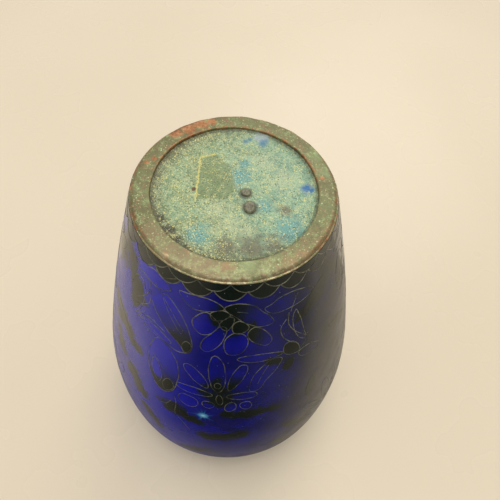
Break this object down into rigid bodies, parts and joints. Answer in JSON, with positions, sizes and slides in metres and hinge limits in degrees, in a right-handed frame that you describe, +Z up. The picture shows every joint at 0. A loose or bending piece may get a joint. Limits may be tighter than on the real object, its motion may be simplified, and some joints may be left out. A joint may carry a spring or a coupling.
{
  "type": "cloisonne vase",
  "caption": "Egg-shaped enamelled copper vase with a ring foot, flower and bud cells fenced by fine wires, and a scale border.",
  "frame": {"origin": "centre of the mouth rim's resting face, on the vase's axis", "axes": "+Z up the axis, from the mouth to the foot: the vase is stored turned over, standing on its mouth; -Y faces the front of the decoration"},
  "size_m": [0.09, 0.09, 0.127],
  "materials": {
    "foot_copper": "aged copper, verdigris",
    "copper": "bare copper",
    "rim_copper": "worn copper",
    "counter_enamel": "speckled glaze",
    "blister_enamel": "rough glaze",
    "lining_enamel": "plain glaze",
    "ground_enamel": "polished glaze",
    "petal_enamel": "polished glaze",
    "bud_enamel": "polished glaze",
    "leaf_enamel": "polished glaze",
    "dark_enamel": "polished glaze",
    "wire_brass": "dull brass"
  },
  "bodies": {
    "root": {"foot_ring": "foot_copper", "base_disc": "copper", "base_enamel": "counter_enamel", "base_blisters": "blister_enamel", "body_shell": "copper", "lining_enamel": "lining_enamel", "mouth_rim": "rim_copper", "ground_enamel": "ground_enamel", "scale_row_lower_enamel": "dark_enamel", "scale_row_upper_enamel": "dark_enamel", "scale_row_lower_wires": "wire_brass", "scale_row_upper_wires": "wire_brass", "blossom_petal_enamel": "petal_enamel", "blossom_centre_enamel": "dark_enamel", "blossom_wires": "wire_brass", "bud_enamel": "bud_enamel", "bud_tip_enamel": "dark_enamel", "bud_wires": "wire_brass", "fan_petal_enamel": "petal_enamel", "fan_centre_enamel": "dark_enamel", "fan_wires": "wire_brass", "side_flower_enamel": "petal_enamel", "side_flower_wires": "wire_brass", "leaf_enamel": "leaf_enamel", "leaf_wires": "wire_brass", "dark_leaf_enamel": "dark_enamel", "dark_leaf_wires": "wire_brass", "lappet_enamel": "dark_enamel", "lappet_wires": "wire_brass"}
  },
  "joints": []
}
